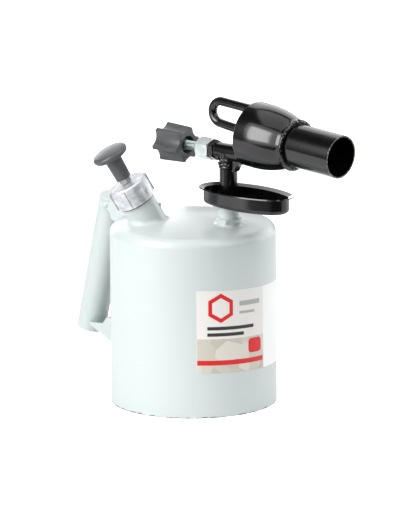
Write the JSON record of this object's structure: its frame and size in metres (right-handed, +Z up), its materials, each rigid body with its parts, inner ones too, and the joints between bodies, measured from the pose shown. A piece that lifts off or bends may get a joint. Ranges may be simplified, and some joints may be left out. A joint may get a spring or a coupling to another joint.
{
  "type": "petrol blowlamp",
  "caption": "Petrol blowlamp: upright tank with side handle, hand pump in a slanted neck, priming tray, star-knob needle valve, and a horizontal burner with bell and flame tube",
  "frame": {"origin": "on the tank's vertical axis, at the level its foot ring rests on", "axes": "+Z up along the tank's axis, +X the way the burner points, handle on the -X side, pump on the -X -Y side"},
  "size_m": [0.2744, 0.1347, 0.2461],
  "materials": {
    "tank_paint": "glossy pale grey-blue stove enamel",
    "handle_paint": "glossy pale grey-blue stove enamel",
    "black_enamel": "glossy black heat-resistant lacquer",
    "zinc_plate": "bright zinc plating",
    "bare_steel": "plain drawn steel",
    "spring_steel": "drawn spring wire",
    "grey_plastic": "satin moulded thermoset, mid grey",
    "cast_aluminium": "die cast with turned faces",
    "brass": "turned",
    "oil_rubber": "olive brown oil-resistant sheet",
    "graphite": "graphited packing cord",
    "leather": "oiled pump leather"
  },
  "bodies": {
    "lamp": {"tank_shell": "tank_paint", "tank_bottom": "tank_paint", "riser_bush": "tank_paint", "filler_neck": "tank_paint", "handle_tube": "handle_paint", "handle_cap": "handle_paint", "upper_bracket": "handle_paint", "lower_bracket": "handle_paint", "handle_rivets": "handle_paint", "riser_pipe": "black_enamel", "priming_tray": "black_enamel", "tray_ring": "black_enamel", "valve_body": "black_enamel", "vapour_loop": "black_enamel", "burner_bell": "black_enamel", "collar_ring": "black_enamel", "flame_tube": "black_enamel", "bell_bracket": "black_enamel", "gland_nut": "zinc_plate", "gland_washer": "zinc_plate", "fuel_pickup_tube": "bare_steel", "vaporiser_pipe": "bare_steel", "pipe_union": "bare_steel", "jet_holder": "brass", "jet": "brass", "pickup_filter": "brass", "neck_gasket": "oil_rubber", "gland_packing": "graphite"},
    "pump_unit": {"pump_barrel": "bare_steel", "barrel_gasket": "oil_rubber", "check_valve_body": "brass", "check_valve_cage": "brass", "check_valve_spring": "spring_steel"},
    "cap": {"pump_cap": "cast_aluminium"},
    "plunger": {"pump_rod": "zinc_plate", "rod_locknut": "zinc_plate", "pump_knob": "grey_plastic", "piston_washers": "zinc_plate", "leather_cup": "leather", "piston_nut": "brass"},
    "valve_disc": {"check_valve_disc": "oil_rubber"},
    "needle": {"needle_spindle": "zinc_plate"},
    "star_knob": {"valve_knob": "grey_plastic", "knob_screw": "zinc_plate"}
  },
  "joints": [
    {"name": "pump_lift", "type": "slide", "parent": "lamp", "child": "pump_unit", "axis": [-0.2569, -0.4111, 0.8746], "range_m": [0, 0.135]},
    {"name": "cap_turn", "type": "hinge", "parent": "pump_unit", "child": "cap", "pos_m": [-0.01955, -0.03129, 0.147], "axis": [-0.2569, -0.4111, 0.8746], "range_deg": [0, 1080]},
    {"name": "plunger_slide", "type": "slide", "parent": "pump_unit", "child": "plunger", "axis": [-0.2569, -0.4111, 0.8746], "range_m": [0, 0.09]},
    {"name": "check_valve_lift", "type": "slide", "parent": "pump_unit", "child": "valve_disc", "axis": [0.2569, 0.4111, -0.8746], "range_m": [0, 0.0015], "stiffness_N_per_m": 200, "deforming": ["check_valve_spring"]},
    {"name": "needle_slide", "type": "slide", "parent": "lamp", "child": "needle", "axis": [-1, 0, 0], "range_m": [0, 0.0025]},
    {"name": "valve_turn", "type": "hinge", "parent": "needle", "child": "star_knob", "pos_m": [0, 0, 0.2028], "axis": [-1, 0, 0], "range_deg": [0, 720]}
  ],
  "couplings": [
    {"joint": "valve_turn", "follows": "needle_slide", "rad_per_m": 5026.5}
  ]
}
